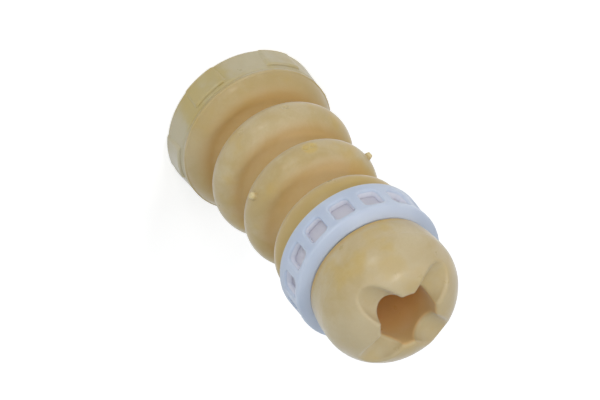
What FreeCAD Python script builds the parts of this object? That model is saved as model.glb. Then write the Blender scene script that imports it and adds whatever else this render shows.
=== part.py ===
import FreeCAD, Part
import math
import os

# Suspension bump stop, in millimetres.
# A moulded foam spring is threaded on the damper rod.  From the bottom up it has a padded
# collar, a neck, two bulges, a lip, a groove and a domed nose that is notched round its mouth.
# A white plastic support ring sits in the groove between the lip and the nose.
# The part stands on its flat collar face with the nose up.  The origin is the centre of
# that face and +Z runs along the rod bore.  Levels are heights above the collar face.

BORE_RADIUS = 9.5

# Collar: a rim that tapers towards the neck, raised pads on it, and a narrow band above
COLLAR_RADIUS = 28.2
COLLAR_EDGE_ROUND = 0.7
PAD_STEP_AT_FACE = 0.35
PAD_STEP_AT_NECK = 0.95
PAD_HEIGHT = 9.2
PAD_COUNT = 6
PAD_ANGLE = 30.0
PAD_FIRST_ANGLE = 4.8
PAD_SIDE_RUN = 1.4
PAD_CORNER_ROUND = 2.0
PAD_TOP_ROUND = 0.7
CREASE_ABOVE_PADS = 1.5
CREASE_DEPTH = 0.35
CREASE_HALF_WIDTH = 0.9
BAND_ABOVE_CREASE = 1.9
BAND_STEP = 0.3

# Neck and bulges: radius of the round, crest radius, and distance from the bulge below
NECK_ABOVE_PADS = 0.7
NECK_ROUND = 8.4
FIRST_ABOVE_NECK = 21.2
FIRST_CREST = 25.1
FIRST_ROUND = 7.1
SECOND_ABOVE_FIRST = 20.5
SECOND_CREST = 23.55
SECOND_ROUND = 6.7
LIP_ABOVE_SECOND = 20.9
LIP_CREST = 23.2
LIP_ROUND = 5.6

# Valleys: radius of the foam at the floor of each
FIRST_VALLEY = 18.2
SECOND_VALLEY = 17.0
THIRD_VALLEY = 15.7

# Groove for the support ring: its floor, and how far the lip and the nose stand above it
RING_ABOVE_LIP = 6.4
RING_SEAT_RADIUS = 19.5
LIP_STEP = 1.9
NOSE_STEP = 2.3
SEAT_CLEARANCE = 0.1

# Nose
CREST_ABOVE_RING = 10.05
NOSE_CREST = 22.8
NOSE_FOOT_CHAMFER = 0.5
DOME_HEIGHT = 14.1

# Radial notches round the mouth, half round at the floor
NOTCH_COUNT = 4
NOTCH_RADIUS = 5.2
NOTCH_DEPTH = 5.3
NOTCH_FIRST_ANGLE = 17.0
NOTCH_EDGE_ROUND = 1.3

# Mould pips just above the crest of the second bulge, one of them torn off
PIP_COUNT = 6
PIP_ABOVE_CREST = 0.7
PIP_FIRST_ANGLE = 32.0
PIP_FOOT_RADIUS = 1.6
PIP_TIP_RADIUS = 0.9
PIP_HEIGHT = 1.5
PIP_TIP_ROUND = 0.5
PIP_ROOT = 0.8
TORN_PIP = 5

# Small pits: two where the pip is torn off, and one on the first bulge
PIT_RADIUS = 1.8
PIT_DEPTH = 0.5
PIT_SPREAD_ANGLE = 3.2
LONE_PIT_ANGLE = -32.5

# Support ring: a waisted band with a sloping front
RING_HEIGHT = 14.45
RING_BACK_WALL = 5.6
RING_BACK_LAND = 1.4
RING_BACK_ROUND = 0.5
RING_WAIST = 0.12
RING_FRONT_WALL = 5.65
RING_FRONT_SLOPE = 2.1
RING_FRONT_ROUND = 1.2
RING_INNER_CHAMFER = 0.6

# Pockets moulded into the outside of the support ring
POCKET_COUNT = 15
POCKET_FIRST_ANGLE = 10.2
POCKET_WIDTH = 6.6
POCKET_HEIGHT = 7.1
POCKET_ABOVE_BACK = 3.4
POCKET_DEPTH = 3.0
POCKET_CORNER = 1.5
POCKET_EDGE_ROUND = 0.8

# Slack for cutters that run past the surface they cut
OVERRUN = 2.0

# Levels and radii that follow from the sizes above
RIM_AT_FACE = COLLAR_RADIUS - PAD_STEP_AT_FACE
RIM_AT_NECK = COLLAR_RADIUS - PAD_STEP_AT_NECK
PAD_ROOT_RADIUS = RIM_AT_NECK - PAD_STEP_AT_NECK
LIP_END_RADIUS = RING_SEAT_RADIUS + LIP_STEP
NOSE_FOOT_RADIUS = RING_SEAT_RADIUS + NOSE_STEP
RING_BORE_RADIUS = RING_SEAT_RADIUS + SEAT_CLEARANCE
RING_BACK_RADIUS = RING_BORE_RADIUS + RING_BACK_WALL
RING_FRONT_RADIUS = RING_BORE_RADIUS + RING_FRONT_WALL
CREASE_LEVEL = PAD_HEIGHT + CREASE_ABOVE_PADS
BAND_LEVEL = CREASE_LEVEL + BAND_ABOVE_CREASE
NECK_LEVEL = PAD_HEIGHT + NECK_ABOVE_PADS
FIRST_LEVEL = NECK_LEVEL + FIRST_ABOVE_NECK
SECOND_LEVEL = FIRST_LEVEL + SECOND_ABOVE_FIRST
LIP_LEVEL = SECOND_LEVEL + LIP_ABOVE_SECOND
RING_BACK_LEVEL = LIP_LEVEL + RING_ABOVE_LIP
RING_FRONT_LEVEL = RING_BACK_LEVEL + RING_HEIGHT
NOSE_LEVEL = RING_FRONT_LEVEL + CREST_ABOVE_RING
MOUTH_LEVEL = NOSE_LEVEL + DOME_HEIGHT
NOTCH_FLOOR_LEVEL = MOUTH_LEVEL - NOTCH_DEPTH
PIP_LEVEL = SECOND_LEVEL + PIP_ABOVE_CREST
TORN_PIP_ANGLE = PIP_FIRST_ANGLE + TORN_PIP * 360.0 / PIP_COUNT

AXIS_BASE = FreeCAD.Vector(0, 0, 0)
UP = FreeCAD.Vector(0, 0, 1)
OUTWARD = FreeCAD.Vector(1, 0, 0)
DIAGONAL = math.sqrt(0.5)


def at(radius, level):
    """A point of the half section, which lies in the XZ plane."""
    return FreeCAD.Vector(radius, 0, level)


def polar(radius, angle, level=0.0):
    """A point at an angle round the bore, in degrees."""
    turn = math.radians(angle)
    return FreeCAD.Vector(radius * math.cos(turn), radius * math.sin(turn), level)


def line(start, end):
    return Part.LineSegment(start, end).toShape()


def arc(start, middle, end):
    return Part.Arc(start, middle, end).toShape()


def chain(points):
    """Straight edges from each point to the next."""
    return [line(start, end) for start, end in zip(points, points[1:])]


def rounded_corner(corner, before, after, radius):
    """A quarter round in place of a square corner, from the side before to the side after."""
    start = corner + before * radius
    end = corner + after * radius
    middle = corner + (before + after) * radius * (1 - DIAGONAL)
    return start, arc(start, middle, end), end


def revolve(edges):
    """A solid of revolution about the bore, from the edges of a closed section."""
    wire = Part.Wire(Part.__sortEdges__(edges))
    return Part.Face(wire).revolve(AXIS_BASE, UP, 360)


def ring_of(shape, count, first_angle):
    """Copies of the shape, evenly spaced round the bore."""
    copies = []
    for index in range(count):
        copy = shape.copy()
        copy.rotate(AXIS_BASE, UP, first_angle + index * 360.0 / count)
        copies.append(copy)
    return copies


def radius_of(point):
    return math.hypot(point.x, point.y)


class Round:
    """A circle of the half section: a bulge or a valley of the outline."""

    def __init__(self, centre, radius):
        self.centre = centre
        self.radius = radius

    def outer(self):
        return self.centre + OUTWARD * self.radius

    def inner(self):
        return self.centre - OUTWARD * self.radius

    def towards(self, target):
        """The point of the circle that faces the target."""
        direction = FreeCAD.Vector(target - self.centre).normalize()
        return self.centre + direction * self.radius


def bulge(crest, level, radius):
    return Round(at(crest - radius, level), radius)


def rise_to_valley(bulge_round, floor, hollow):
    """Height between a bulge and the centre of a hollow that touches it at this floor."""
    inset = floor - bulge_round.centre.x
    return math.sqrt((bulge_round.radius - inset) * (bulge_round.radius + inset + 2 * hollow))


def valley_between(lower, upper, floor):
    """The hollow that touches both bulges and reaches in to the floor radius."""
    span = upper.centre.z - lower.centre.z
    small, large = 0.0, span
    while large - small > 1e-9:
        hollow = (small + large) / 2
        if rise_to_valley(lower, floor, hollow) + rise_to_valley(upper, floor, hollow) < span:
            small = hollow
        else:
            large = hollow
    level = lower.centre.z + rise_to_valley(lower, floor, large)
    return Round(at(floor + large, level), large)


def tangent_point(circle, target):
    """Where the line from an outside point touches the circle, on its outer side."""
    reach = target - circle.centre
    turn = math.acos(circle.radius / reach.Length)
    heading = math.atan2(reach.z, reach.x) - turn
    return circle.centre + at(math.cos(heading), math.sin(heading)) * circle.radius


def arc_from_crest(crest, end):
    """The arc that leaves the crest along the bore direction and runs to the end."""
    rise = end.z - crest.z
    run = crest.x - end.x
    radius = (run ** 2 + rise ** 2) / (2 * run)
    half_angle = math.atan2(abs(rise), radius - run) / 2
    middle = crest - OUTWARD * radius
    middle += at(math.cos(half_angle), math.copysign(math.sin(half_angle), rise)) * radius
    return arc(crest, middle, end)


def collar_outline(neck):
    """The rim, the crease and the band, up to where the neck's round begins."""
    start, edge, rim = rounded_corner(at(RIM_AT_FACE, 0), -OUTWARD, UP, COLLAR_EDGE_ROUND)
    neck_rise = BAND_LEVEL - neck.centre.z
    neck_start = at(neck.centre.x + math.sqrt(neck.radius ** 2 - neck_rise ** 2), BAND_LEVEL)
    side = chain([
        rim,
        at(RIM_AT_NECK, CREASE_LEVEL - CREASE_HALF_WIDTH),
        at(RIM_AT_NECK - CREASE_DEPTH, CREASE_LEVEL),
        at(RIM_AT_NECK, CREASE_LEVEL + CREASE_HALF_WIDTH),
        at(RIM_AT_NECK, BAND_LEVEL - BAND_STEP),
        neck_start,
    ])
    return start, [edge] + side, neck_start


def bellows_outline(bulges, start, end):
    """Tangent arcs from the neck over the bulges to the lip, then a line to the groove."""
    floors = [FIRST_VALLEY, SECOND_VALLEY, THIRD_VALLEY]
    edges = []
    for lower, upper, floor in zip(bulges, bulges[1:], floors):
        valley = valley_between(lower, upper, floor)
        leave = lower.towards(valley.centre)
        enter = upper.towards(valley.centre)
        halfway = lower.towards((start + leave) / 2)
        edges.append(arc(start, halfway, leave))
        edges.append(arc(leave, valley.inner(), enter))
        start = enter
    lip = bulges[-1]
    leave = tangent_point(lip, end)
    edges.append(arc(start, lip.outer(), leave))
    edges.append(line(leave, end))
    return edges


def groove_outline():
    """The seat of the support ring, between the lip and the nose."""
    back = RING_BACK_LEVEL - SEAT_CLEARANCE
    front = RING_FRONT_LEVEL + SEAT_CLEARANCE
    return [
        at(LIP_END_RADIUS, back),
        at(RING_SEAT_RADIUS, back),
        at(RING_SEAT_RADIUS, front),
        at(NOSE_FOOT_RADIUS - NOSE_FOOT_CHAMFER, front),
        at(NOSE_FOOT_RADIUS, front + NOSE_FOOT_CHAMFER),
    ]


def foam_half_section():
    """The closed outline of one side of the foam body."""
    bulges = [
        bulge(RIM_AT_NECK, NECK_LEVEL, NECK_ROUND),
        bulge(FIRST_CREST, FIRST_LEVEL, FIRST_ROUND),
        bulge(SECOND_CREST, SECOND_LEVEL, SECOND_ROUND),
        bulge(LIP_CREST, LIP_LEVEL, LIP_ROUND),
    ]
    face_edge, collar, neck_start = collar_outline(bulges[0])
    groove = groove_outline()
    bellows = bellows_outline(bulges, neck_start, groove[0])
    crest = at(NOSE_CREST, NOSE_LEVEL)
    mouth = at(BORE_RADIUS, MOUTH_LEVEL)
    nose = [arc_from_crest(crest, groove[-1]), arc_from_crest(crest, mouth)]
    bore = chain([mouth, at(BORE_RADIUS, 0), face_edge])
    return collar + bellows + chain(groove) + nose + bore


def pad_prism():
    """One pad before its edges are rounded: its sides slope down to the rim."""
    half = PAD_ANGLE / 2
    slope = math.degrees(PAD_SIDE_RUN / COLLAR_RADIUS)
    corners = [
        polar(PAD_ROOT_RADIUS, -half - slope),
        polar(COLLAR_RADIUS, slope - half),
        polar(COLLAR_RADIUS, half - slope),
        polar(PAD_ROOT_RADIUS, half + slope),
    ]
    outline = Part.Wire([
        line(corners[0], corners[1]),
        arc(corners[1], polar(COLLAR_RADIUS, 0), corners[2]),
        line(corners[2], corners[3]),
        arc(corners[3], polar(PAD_ROOT_RADIUS, 0), corners[0]),
    ])
    return Part.Face(outline).extrude(UP * PAD_HEIGHT)


def outer_edges(solid, lowest, highest):
    """The edges that lie between two levels and outside the root of the pads."""
    found = []
    for edge in solid.Edges:
        middle = edge.valueAt((edge.FirstParameter + edge.LastParameter) / 2)
        inside = edge.BoundBox.ZMin > lowest and edge.BoundBox.ZMax < highest
        if inside and radius_of(middle) > PAD_ROOT_RADIUS + PAD_TOP_ROUND / 2:
            found.append(edge)
    return found


def make_pad():
    """A pad with rounded corners, top edge and foot."""
    slack = 0.01
    pad = pad_prism()
    upright = [edge for edge in outer_edges(pad, -slack, PAD_HEIGHT + slack)
               if edge.BoundBox.ZLength > PAD_HEIGHT / 2]
    pad = pad.makeFillet(PAD_CORNER_ROUND, upright)
    pad = pad.makeFillet(PAD_TOP_ROUND, outer_edges(pad, PAD_HEIGHT - slack, PAD_HEIGHT + slack))
    return pad.makeFillet(COLLAR_EDGE_ROUND, outer_edges(pad, -slack, slack))


def collar_pads():
    return ring_of(make_pad(), PAD_COUNT, PAD_FIRST_ANGLE)


def pips():
    """Tapered mould pips that stand on the crest of the second bulge."""
    root = at(SECOND_CREST - PIP_ROOT, PIP_LEVEL)
    pip = Part.makeCone(PIP_FOOT_RADIUS, PIP_TIP_RADIUS, PIP_ROOT + PIP_HEIGHT, root, OUTWARD)
    tip_edges = [edge for edge in pip.Edges if edge.BoundBox.XMin > SECOND_CREST]
    pip = pip.makeFillet(PIP_TIP_ROUND, tip_edges)
    copies = ring_of(pip, PIP_COUNT, PIP_FIRST_ANGLE)
    return [copy for index, copy in enumerate(copies) if index != TORN_PIP]


def pits():
    """Small round pits in the skin."""
    lift = PIT_RADIUS - PIT_DEPTH
    centres = [
        polar(SECOND_CREST + lift, TORN_PIP_ANGLE - PIT_SPREAD_ANGLE, PIP_LEVEL),
        polar(SECOND_CREST + lift, TORN_PIP_ANGLE + PIT_SPREAD_ANGLE, PIP_LEVEL),
        polar(FIRST_CREST + lift, LONE_PIT_ANGLE, FIRST_LEVEL),
    ]
    return [Part.makeSphere(PIT_RADIUS, centre) for centre in centres]


def notches():
    """Radial cutters for the mouth: a half round floor and straight sides above it."""
    centre_level = NOTCH_FLOOR_LEVEL + NOTCH_RADIUS
    length = NOSE_CREST + OVERRUN
    floor = Part.makeCylinder(NOTCH_RADIUS, length, at(0, centre_level), OUTWARD)
    corner = FreeCAD.Vector(0, -NOTCH_RADIUS, centre_level)
    sides = Part.makeBox(length, 2 * NOTCH_RADIUS, NOTCH_DEPTH + OVERRUN, corner)
    return ring_of(floor.fuse(sides).removeSplitter(), NOTCH_COUNT, NOTCH_FIRST_ANGLE)


def mouth_edges(nose):
    """The edges of the notches and of the mouth, without the seams of round faces."""
    seam_width = 0.01
    lowest = NOTCH_FLOOR_LEVEL - NOTCH_EDGE_ROUND
    return [
        edge for edge in nose.Edges
        if edge.BoundBox.ZMin > lowest and edge.BoundBox.YLength > seam_width
    ]


def make_foam_body():
    body = revolve(foam_half_section()).cut(notches())
    body = body.makeFillet(NOTCH_EDGE_ROUND, mouth_edges(body))
    return body.fuse(collar_pads() + pips()).cut(pits()).removeSplitter()


def ring_half_section():
    """The closed outline of one side of the ring, with square edges at back and front."""
    inner = RING_BORE_RADIUS
    land = at(RING_BACK_RADIUS, RING_BACK_LEVEL + RING_BACK_LAND)
    front_edge = at(RING_FRONT_RADIUS, RING_FRONT_LEVEL - RING_FRONT_SLOPE)
    waist = (land + front_edge) / 2 - OUTWARD * RING_WAIST
    back = chain([
        at(inner, RING_BACK_LEVEL + RING_INNER_CHAMFER),
        at(inner + RING_INNER_CHAMFER, RING_BACK_LEVEL),
        at(RING_BACK_RADIUS, RING_BACK_LEVEL),
        land,
    ])
    front = chain([
        front_edge,
        at(NOSE_FOOT_RADIUS, RING_FRONT_LEVEL),
        at(inner + RING_INNER_CHAMFER, RING_FRONT_LEVEL),
        at(inner, RING_FRONT_LEVEL - RING_INNER_CHAMFER),
        at(inner, RING_BACK_LEVEL + RING_INNER_CHAMFER),
    ])
    return back + [arc(land, waist, front_edge)] + front


def round_circle(solid, radius, level, amount):
    """Round the circular edge that has this radius and level."""
    near = 0.001
    found = []
    for edge in solid.Edges:
        point = edge.valueAt((edge.FirstParameter + edge.LastParameter) / 2)
        if abs(radius_of(point) - radius) < near and abs(point.z - level) < near:
            found.append(edge)
    return solid.makeFillet(amount, found)


def pocket_cutter():
    """A radial block with rounded corners, down to the pocket's floor."""
    low = RING_BACK_LEVEL + POCKET_ABOVE_BACK
    corner = FreeCAD.Vector(RING_BACK_RADIUS - POCKET_DEPTH, -POCKET_WIDTH / 2, low)
    block = Part.makeBox(POCKET_DEPTH + OVERRUN, POCKET_WIDTH, POCKET_HEIGHT, corner)
    radial_edges = [edge for edge in block.Edges if edge.BoundBox.XLength > POCKET_DEPTH]
    return block.makeFillet(POCKET_CORNER, radial_edges)


def pocket_rims(ring):
    """The edges where the pockets open on the outside of the ring."""
    low = RING_BACK_LEVEL + POCKET_ABOVE_BACK - POCKET_EDGE_ROUND
    high = RING_BACK_LEVEL + POCKET_ABOVE_BACK + POCKET_HEIGHT + POCKET_EDGE_ROUND
    skin = RING_BACK_RADIUS - POCKET_DEPTH / 2
    rims = []
    for edge in ring.Edges:
        between = edge.BoundBox.ZMin > low and edge.BoundBox.ZMax < high
        if between and min(radius_of(vertex.Point) for vertex in edge.Vertexes) > skin:
            rims.append(edge)
    return rims


def make_support_ring():
    ring = revolve(ring_half_section())
    ring = round_circle(ring, RING_BACK_RADIUS, RING_BACK_LEVEL, RING_BACK_ROUND)
    front_edge_level = RING_FRONT_LEVEL - RING_FRONT_SLOPE
    ring = round_circle(ring, RING_FRONT_RADIUS, front_edge_level, RING_FRONT_ROUND)
    ring = ring.cut(ring_of(pocket_cutter(), POCKET_COUNT, POCKET_FIRST_ANGLE))
    return ring.makeFillet(POCKET_EDGE_ROUND, pocket_rims(ring))


def main():
    os.makedirs("parts", exist_ok=True)
    make_foam_body().exportStep("parts/foam_body.step")
    make_support_ring().exportStep("parts/support_ring.step")


main()
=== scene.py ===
import math

import bpy
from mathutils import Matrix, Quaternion, Vector

# Looks of the foam bump stop and its white support ring.
# Lengths are in metres.  +Z points up, and the flat collar face stands on the floor at Z = 0.

# Camera: the photo looks down on the nose from the +X side, rolled so that the nose points
# to the lower right.  Angles are in degrees, and the lens and the sensor in millimetres
CAMERA_PLACE = (0.5458, 0.0021, 0.6028)
CAMERA_ELEVATION = 45.53
CAMERA_ROLL = 140.11
CAMERA_LENS = 144.0
CAMERA_SENSOR = 36.0
CAMERA_NEAREST = 0.05
CAMERA_FARTHEST = 20.0

# Lights: the even light from all round, the point that the soft lights face, and for each of
# them its name, place, width, power and colour
WORLD_STRENGTH = 0.5
WORLD_GREY = 0.8
LIT_POINT = Vector((0.0, 0.0, 0.06))
WHITE = (1.0, 1.0, 1.0)
PALE_BLUE = (0.78, 0.91, 1.0)
SKY_BLUE = (0.6, 0.8, 1.0)
SOFT_LIGHTS = [
    ("front", (1.19, 0.0, 1.27), 1.1, 5.3, WHITE),
    ("right", (-0.1, -1.15, 1.33), 1.1, 4.2, WHITE),
    ("left", (-0.03, 0.87, 1.52), 1.1, 2.8, PALE_BLUE),
    ("flank", (0.2, 1.55, 0.45), 0.9, 1.5, SKY_BLUE),
    ("high_glint", (0.45, -0.55, 1.5), 0.2, 3.0, WHITE),
    ("low_glint", (1.5, -0.36, 0.16), 0.2, 3.0, WHITE),
]

# Floor: half its width, its grey, and the light of its own that the camera sees on it
FLOOR_REACH = 4.0
FLOOR_GREY = 0.8
FLOOR_GLOW = 0.5

# Levels and radii of the forms that the tints follow.  The crest line runs over the crests
# of the bulges, and its radius shrinks by the taper for each metre of height
BORE_RADIUS = 0.0095
CREST_AT_FACE = 0.0281
CREST_TAPER = 0.0665
COLLAR_TOP = 0.0126
NECK_TOP = 0.0265
PIP_LEVEL = 0.0523
PIP_BASE_RADIUS = 0.0238
TORN_PIP_PLACE = (0.0208, -0.01106, PIP_LEVEL)
LIP_FOOT = 0.067
RING_MIDDLE = 0.0861
RING_HALF_HEIGHT = 0.0072
RING_FRONT_EDGE = 0.0912
POCKET_FLOOR_RADIUS = 0.0222
NOSE_CREST_LEVEL = 0.1034
MOUTH_LEVEL = 0.1175
BORE_PALES_FROM = 0.1
BORE_PALES_TO = 0.116

# How far the tints fade, and how far those round a form reach before they fade
EDGE_FADE = 0.001
NECK_FADE = 0.003
LIP_FADE = 0.004
MOUTH_FADE = 0.004
VALLEY_FADE = 0.0055
VALLEY_WAVER = 0.003
BESIDE_RING = 0.0006
BESIDE_RING_END = 0.0034
BORE_FADE = 0.0005
PIP_REACH = 0.002
PIP_FADE = 0.0006
SCAR_REACH = 0.0018
SCAR_END = 0.0032
PARTING_HALF_WIDTH = 0.00022
POCKET_FLOOR_FADE = 0.0008
POCKET_WALL = 0.0017
POCKET_WALL_END = 0.0024

# Colours of the foam, in display values from 0 to 255
SKIN_PALE = (203, 186, 147)
SKIN_TAN = (191, 168, 115)
SKIN_CLOUD = (208, 196, 160)
SKIN_STAIN = (201, 171, 92)
# Painted reflection: the pale grey that the collar takes on from its white surroundings
SKIN_GRAIN = (168, 146, 98)
COLLAR_PAINTED_REFLECTION = (190, 186, 162)
COLLAR_OLIVE = (180, 168, 114)
NECK_TAN = (182, 157, 102)
LIP_AMBER = (190, 160, 86)
MOUTH_PALE = (197, 180, 144)
# Painted shade: amber in the valleys
VALLEY_PAINTED_SHADE = (204, 162, 92)
# Painted shade: amber in a band beside the ring
BESIDE_RING_PAINTED_SHADE = (202, 164, 84)
# Painted light: brighter amber for light that bounces and scatters inside the bore
BORE_PAINTED_BOUNCE = (242, 190, 120)
PIP_PALE = (226, 210, 160)
SCAR_AMBER = (204, 176, 92)
BLOOM = (226, 234, 250)

# Colours of the ring, likewise
PLASTIC_PALE = (196, 206, 224)
PLASTIC_COOL = (189, 200, 219)
# Painted light: whiter walls that lift the shade in the pockets
POCKET_WALL_PAINTED_LIGHT = (228, 230, 240)
# Painted light: lighter warm floors that lift the shade in the pockets
POCKET_FLOOR_PAINTED_LIGHT = (210, 208, 217)

# The colour sockets of a mix node, which go by number because their names are not unique
MIX_COLOURS = slice(6, 8)
MIX_RESULT = 2

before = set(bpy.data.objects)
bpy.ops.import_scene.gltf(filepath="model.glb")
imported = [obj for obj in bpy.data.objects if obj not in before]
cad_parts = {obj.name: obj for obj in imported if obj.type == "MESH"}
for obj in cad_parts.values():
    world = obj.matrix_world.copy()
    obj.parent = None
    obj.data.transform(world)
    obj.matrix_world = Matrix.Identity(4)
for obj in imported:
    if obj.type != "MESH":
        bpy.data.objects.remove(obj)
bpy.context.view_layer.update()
scene = bpy.context.scene
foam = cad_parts["foam_body"]
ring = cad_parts["support_ring"]


def linear(display_colour):
    """The light values of a colour that is given in display values from 0 to 255."""
    def channel(value):
        value /= 255.0
        return value / 12.92 if value <= 0.04045 else ((value + 0.055) / 1.055) ** 2.4
    return tuple(channel(value) for value in display_colour) + (1.0,)


def grey(value):
    return value, value, value, 1.0


class Nodes:
    """Builds the node tree of a material or of the world."""

    def __init__(self, owner):
        self.owner = owner
        self.owner.use_nodes = True
        self.tree = owner.node_tree
        self.tree.nodes.clear()

    def add(self, kind, settings=None, **inputs):
        node = self.tree.nodes.new("ShaderNode" + kind)
        for name, value in (settings or {}).items():
            setattr(node, name, value)
        for name, value in inputs.items():
            self.feed(node.inputs[name.replace("_", " ")], value)
        return node

    def feed(self, socket, value):
        """Link the socket to another one, or set its number or colour."""
        if isinstance(value, bpy.types.NodeSocket):
            self.tree.links.new(value, socket)
        else:
            socket.default_value = value

    def where(self):
        """Where the surface is: the point, its height, and its distance from the bore's axis."""
        point = self.add("NewGeometry").outputs["Position"]
        parts = self.add("SeparateXYZ", Vector=point).outputs
        across = self.math("POWER", parts["X"], 2.0)
        along = self.math("POWER", parts["Y"], 2.0)
        radius = self.math("SQRT", self.math("ADD", across, along))
        return point, parts["Z"], radius

    def noise(self, point, scale, detail=3.0, roughness=0.5, distortion=0.0, seed=0.0):
        """Soft random values round a half; the scale is how many patches fit in a metre."""
        node = self.add("TexNoise", {"noise_dimensions": "4D"}, Vector=point, Scale=scale,
                        Detail=detail, Roughness=roughness, Distortion=distortion, W=seed)
        return node.outputs["Fac"]

    def math(self, operation, *values):
        node = self.add("Math", {"operation": operation})
        for socket, value in zip(node.inputs, values):
            self.feed(socket, value)
        return node.outputs["Value"]

    def distance(self, point, other):
        node = self.add("VectorMath", {"operation": "DISTANCE"})
        for socket, value in zip(node.inputs, (point, other)):
            self.feed(socket, value)
        return node.outputs["Value"]

    def span(self, value, low, high, to_low, to_high):
        """The value, taken smoothly from one range to another and clamped."""
        node = self.add("MapRange", {"interpolation_type": "SMOOTHSTEP"}, Value=value,
                        From_Min=low, From_Max=high, To_Min=to_low, To_Max=to_high)
        return node.outputs["Result"]

    def rising(self, value, low, high, amount=1.0):
        """Nothing below the low value, and the whole amount above the high one."""
        return self.span(value, low, high, 0.0, amount)

    def falling(self, value, low, high, amount=1.0):
        """The whole amount below the low value, and nothing above the high one."""
        return self.span(value, low, high, amount, 0.0)

    def near(self, value, centre, reach, end, amount=1.0):
        """The whole amount within the reach of a centre, and nothing past the end."""
        away = self.math("ABSOLUTE", self.math("SUBTRACT", value, centre))
        return self.falling(away, reach, end, amount)

    def blend(self, amount, first, second):
        """The second colour over the first."""
        node = self.add("Mix", {"data_type": "RGBA"}, Factor=amount)
        for socket, colour in zip(node.inputs[MIX_COLOURS], (first, second)):
            self.feed(socket, colour)
        return node.outputs[MIX_RESULT]

    def tint(self, skin, display_colour, amount):
        """A display colour over the skin."""
        return self.blend(amount, skin, linear(display_colour))

    def mottle(self, amount, first, second):
        """One display colour that turns into another."""
        return self.blend(amount, linear(first), linear(second))

    def bump(self, height, distance, strength, normal=None):
        node = self.add("Bump", Height=height, Distance=distance, Strength=strength)
        if normal is not None:
            self.feed(node.inputs["Normal"], normal)
        return node.outputs["Normal"]

    def seen_directly(self):
        """1 where the camera, a reflection or a view through glass looks, and 0 elsewhere."""
        ray = self.add("LightPath").outputs
        seen = self.math("MAXIMUM", ray["Is Camera Ray"], ray["Is Glossy Ray"])
        return self.math("MAXIMUM", seen, ray["Is Transmission Ray"])

    def finish(self, shader, output="OutputMaterial"):
        self.add(output, Surface=shader)
        return self.owner


def level_tints(n, skin, level, stains):
    """Tints that follow the height: a collar of painted reflection in pale grey, with olive
    patches, and a darker neck and lip.
    """
    # Painted reflection: the pale grey on the collar; the olive patches are the foam's own
    # colour
    reflection_and_olive = n.mottle(n.rising(stains, 0.42, 0.58), COLLAR_PAINTED_REFLECTION, COLLAR_OLIVE)
    on_collar = n.falling(level, COLLAR_TOP - 2 * EDGE_FADE, COLLAR_TOP + EDGE_FADE,
                          amount=0.55)
    skin = n.blend(on_collar, skin, reflection_and_olive)

    neck_middle = (COLLAR_TOP + NECK_TOP) / 2
    neck_reach = (NECK_TOP - COLLAR_TOP) / 2
    on_neck = n.near(level, neck_middle, neck_reach - EDGE_FADE, neck_reach + NECK_FADE,
                     amount=0.5)
    skin = n.tint(skin, NECK_TAN, on_neck)

    above_foot = n.rising(level, LIP_FOOT, LIP_FOOT + LIP_FADE, amount=0.65)
    below_ring = n.falling(level, RING_MIDDLE - EDGE_FADE, RING_MIDDLE)
    skin = n.tint(skin, LIP_AMBER, n.math("MULTIPLY", above_foot, below_ring))

    on_mouth = n.rising(level, NOSE_CREST_LEVEL + 2 * EDGE_FADE, MOUTH_LEVEL - MOUTH_FADE,
                        amount=0.5)
    return n.tint(skin, MOUTH_PALE, on_mouth)


def valley_depth(n, level, radius, patches):
    """How deep the surface lies in a valley, from 0 on the crest line to 1."""
    crest_line = n.math("MULTIPLY_ADD", level, -CREST_TAPER, CREST_AT_FACE)
    inset = n.math("SUBTRACT", crest_line, radius)
    inset = n.math("MULTIPLY_ADD", patches, -VALLEY_WAVER, inset)
    below_ring = n.falling(level, RING_MIDDLE - EDGE_FADE, RING_MIDDLE + EDGE_FADE)
    return n.math("MULTIPLY", below_ring, n.rising(inset, 0.0, VALLEY_FADE))


def painted_shade_and_bounce(n, skin, level, radius, depth):
    """Painted shade in amber in the valleys and beside the ring, and painted bounce light in the
    bore.
    """
    # Painted shade: amber that deepens into the valleys
    skin = n.tint(skin, VALLEY_PAINTED_SHADE, n.math("MULTIPLY", depth, 0.55))
    # Painted shade: amber in a band beside the ring
    shade_beside_ring = n.near(level, RING_MIDDLE, RING_HALF_HEIGHT + BESIDE_RING,
                         RING_HALF_HEIGHT + BESIDE_RING_END, amount=0.7)
    skin = n.tint(skin, BESIDE_RING_PAINTED_SHADE, shade_beside_ring)
    # Painted light: brighter amber in the bore, fading toward the mouth
    in_bore = n.falling(radius, BORE_RADIUS, BORE_RADIUS + BORE_FADE)
    toward_mouth = n.span(level, BORE_PALES_FROM, BORE_PALES_TO, to_low=0.75, to_high=0.3)
    return n.tint(skin, BORE_PAINTED_BOUNCE, n.math("MULTIPLY", in_bore, toward_mouth))


def pip_tints(n, skin, point, level, radius):
    """Pale pips, and an amber scar where one is torn off."""
    at_pips = n.near(level, PIP_LEVEL, PIP_REACH, PIP_REACH + EDGE_FADE)
    outside = n.rising(radius, PIP_BASE_RADIUS, PIP_BASE_RADIUS + PIP_FADE, amount=0.7)
    skin = n.tint(skin, PIP_PALE, n.math("MULTIPLY", at_pips, outside))
    from_scar = n.distance(point, TORN_PIP_PLACE)
    on_scar = n.falling(from_scar, SCAR_REACH, SCAR_END, amount=0.6)
    return n.tint(skin, SCAR_AMBER, on_scar)


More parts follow.
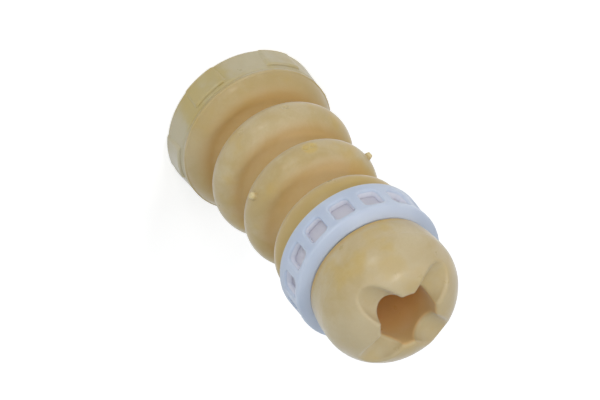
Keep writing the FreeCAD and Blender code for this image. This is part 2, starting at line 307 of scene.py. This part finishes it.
def foam_material():
    """Tan moulded foam with a waxy skin: mottled, with amber painted shade in the valleys and
    brighter amber painted light in the bore.
    """
    n = Nodes(bpy.data.materials.new("foam"))
    point, level, radius = n.where()
    patches = n.noise(point, 45.0, detail=4.0, roughness=0.55, distortion=0.6, seed=2.6)
    clouds = n.noise(point, 170.0, detail=4.0, roughness=0.6)
    stains = n.noise(point, 60.0, roughness=0.55, seed=3.4)
    swell = n.noise(point, 120.0, detail=2.0)
    grain = n.noise(point, 1500.0, detail=2.0)
    pores = n.noise(point, 4200.0, detail=1.0)

    skin = n.mottle(n.rising(patches, 0.38, 0.62), SKIN_PALE, SKIN_TAN)
    skin = n.tint(skin, SKIN_CLOUD, n.rising(clouds, 0.45, 0.75, amount=0.4))
    skin = n.tint(skin, SKIN_STAIN, n.rising(stains, 0.51, 0.66, amount=0.6))
    skin = n.tint(skin, SKIN_GRAIN, n.rising(grain, 0.3, 0.75, amount=0.12))
    skin = level_tints(n, skin, level, stains)
    depth = valley_depth(n, level, radius, patches)
    skin = painted_shade_and_bounce(n, skin, level, radius, depth)
    skin = pip_tints(n, skin, point, level, radius)

    parting = n.near(level, NOSE_CREST_LEVEL, 0.0, PARTING_HALF_WIDTH)
    normal = n.bump(swell, distance=0.0006, strength=0.4)
    normal = n.bump(grain, distance=0.00005, strength=0.3, normal=normal)
    normal = n.bump(pores, distance=0.00002, strength=0.25, normal=normal)
    normal = n.bump(parting, distance=0.00006, strength=0.5, normal=normal)

    roughness = n.span(clouds, 0.3, 0.7, to_low=0.27, to_high=0.46)
    roughness = n.math("MULTIPLY_ADD", depth, 0.25, roughness)
    shader = n.add(
        "BsdfPrincipled", Base_Color=skin, Roughness=roughness, Normal=normal,
        Specular_IOR_Level=0.45,
        Sheen_Weight=0.5, Sheen_Roughness=0.3, Sheen_Tint=linear(BLOOM),
        Subsurface_Weight=0.25, Subsurface_Radius=(1.0, 0.8, 0.6), Subsurface_Scale=0.002,
    )
    return n.finish(shader.outputs["BSDF"])


def ring_material():
    """White moulded plastic with a cool tint, and painted light in the pockets: whiter walls and
    lighter warm floors.
    """
    n = Nodes(bpy.data.materials.new("ring_plastic"))
    point, level, radius = n.where()
    clouds = n.noise(point, 60.0)
    swell = n.noise(point, 90.0, detail=1.0)
    grain = n.noise(point, 2600.0, detail=2.0)

    skin = n.mottle(n.rising(clouds, 0.35, 0.7), PLASTIC_PALE, PLASTIC_COOL)
    behind_slope = n.falling(level, RING_FRONT_EDGE - EDGE_FADE, RING_FRONT_EDGE)
    # Painted light: whiter pocket walls that lift their shade
    on_wall = n.falling(radius, POCKET_FLOOR_RADIUS + POCKET_WALL,
                        POCKET_FLOOR_RADIUS + POCKET_WALL_END)
    skin = n.tint(skin, POCKET_WALL_PAINTED_LIGHT, n.math("MULTIPLY", on_wall, behind_slope))
    # Painted light: lighter warm pocket floors that lift their shade
    on_floor = n.falling(radius, POCKET_FLOOR_RADIUS,
                         POCKET_FLOOR_RADIUS + POCKET_FLOOR_FADE, amount=0.85)
    skin = n.tint(skin, POCKET_FLOOR_PAINTED_LIGHT, n.math("MULTIPLY", on_floor, behind_slope))

    normal = n.bump(swell, distance=0.0002, strength=0.25)
    normal = n.bump(grain, distance=0.00002, strength=0.4, normal=normal)
    shader = n.add(
        "BsdfPrincipled", Base_Color=skin, Normal=normal,
        Roughness=n.span(clouds, 0.3, 0.7, to_low=0.34, to_high=0.44),
        Specular_IOR_Level=0.5,
        Subsurface_Weight=0.7, Subsurface_Radius=(0.9, 0.95, 1.0), Subsurface_Scale=0.005,
    )
    return n.finish(shader.outputs["BSDF"])


def floor_material():
    """A white floor that keeps the shadow: the camera also sees a little light of its own."""
    n = Nodes(bpy.data.materials.new("floor_white"))
    diffuse = n.add("BsdfDiffuse", Color=grey(FLOOR_GREY)).outputs["BSDF"]
    strength = n.math("MULTIPLY", n.seen_directly(), FLOOR_GLOW)
    glow = n.add("Emission", Color=grey(1.0), Strength=strength).outputs["Emission"]
    both = n.add("AddShader")
    for socket, shader in zip(both.inputs, (diffuse, glow)):
        n.feed(socket, shader)
    return n.finish(both.outputs["Shader"])


def make_world():
    """Even light from all round, and a brighter background where it is seen directly."""
    n = Nodes(bpy.data.worlds.new("world"))
    strength = n.math("MULTIPLY_ADD", n.seen_directly(), 1.0 - WORLD_STRENGTH, WORLD_STRENGTH)
    background = n.add("Background", Color=grey(WORLD_GREY), Strength=strength)
    scene.world = n.finish(background.outputs["Background"], "OutputWorld")


def add_to_scene(name, data, place, turn):
    """A camera or a light, at its place and turned by a quaternion."""
    holder = bpy.data.objects.new(name, data)
    holder.location = place
    holder.rotation_mode = "QUATERNION"
    holder.rotation_quaternion = turn
    scene.collection.objects.link(holder)
    return holder


def facing(direction):
    """The turn of a camera or a light that looks in this direction."""
    return direction.to_track_quat("-Z", "Y")


def make_camera():
    """The camera at the photo's viewing angle."""
    tilt = math.radians(CAMERA_ELEVATION)
    away = Vector((-math.cos(tilt), 0.0, -math.sin(tilt)))
    roll = Quaternion(-away, math.radians(CAMERA_ROLL))
    data = bpy.data.cameras.new("camera")
    data.sensor_width = CAMERA_SENSOR
    data.lens = CAMERA_LENS
    data.clip_start = CAMERA_NEAREST
    data.clip_end = CAMERA_FARTHEST
    scene.camera = add_to_scene("camera", data, CAMERA_PLACE, roll @ facing(away))


def soft_light(name, place, width, power, colour):
    """A square light that faces the part."""
    light = bpy.data.lights.new(name, "AREA")
    light.size = width
    light.energy = power
    light.color = colour
    add_to_scene(name, light, place, facing(LIT_POINT - Vector(place)))


def make_floor():
    mesh = bpy.data.meshes.new("floor")
    sides = ((-1, -1), (1, -1), (1, 1), (-1, 1))
    corners = [(x * FLOOR_REACH, y * FLOOR_REACH, 0) for x, y in sides]
    mesh.from_pydata(corners, [], [(0, 1, 2, 3)])
    mesh.materials.append(floor_material())
    floor = bpy.data.objects.new("floor", mesh)
    scene.collection.objects.link(floor)


def dress(piece, material):
    """Give the piece this material in every slot, and at least in one."""
    slots = piece.data.materials
    if not slots:
        slots.append(material)
    for index in range(len(slots)):
        slots[index] = material


dress(foam, foam_material())
dress(ring, ring_material())
make_camera()
make_floor()
make_world()
for settings in SOFT_LIGHTS:
    soft_light(*settings)

scene.view_settings.view_transform = "Standard"
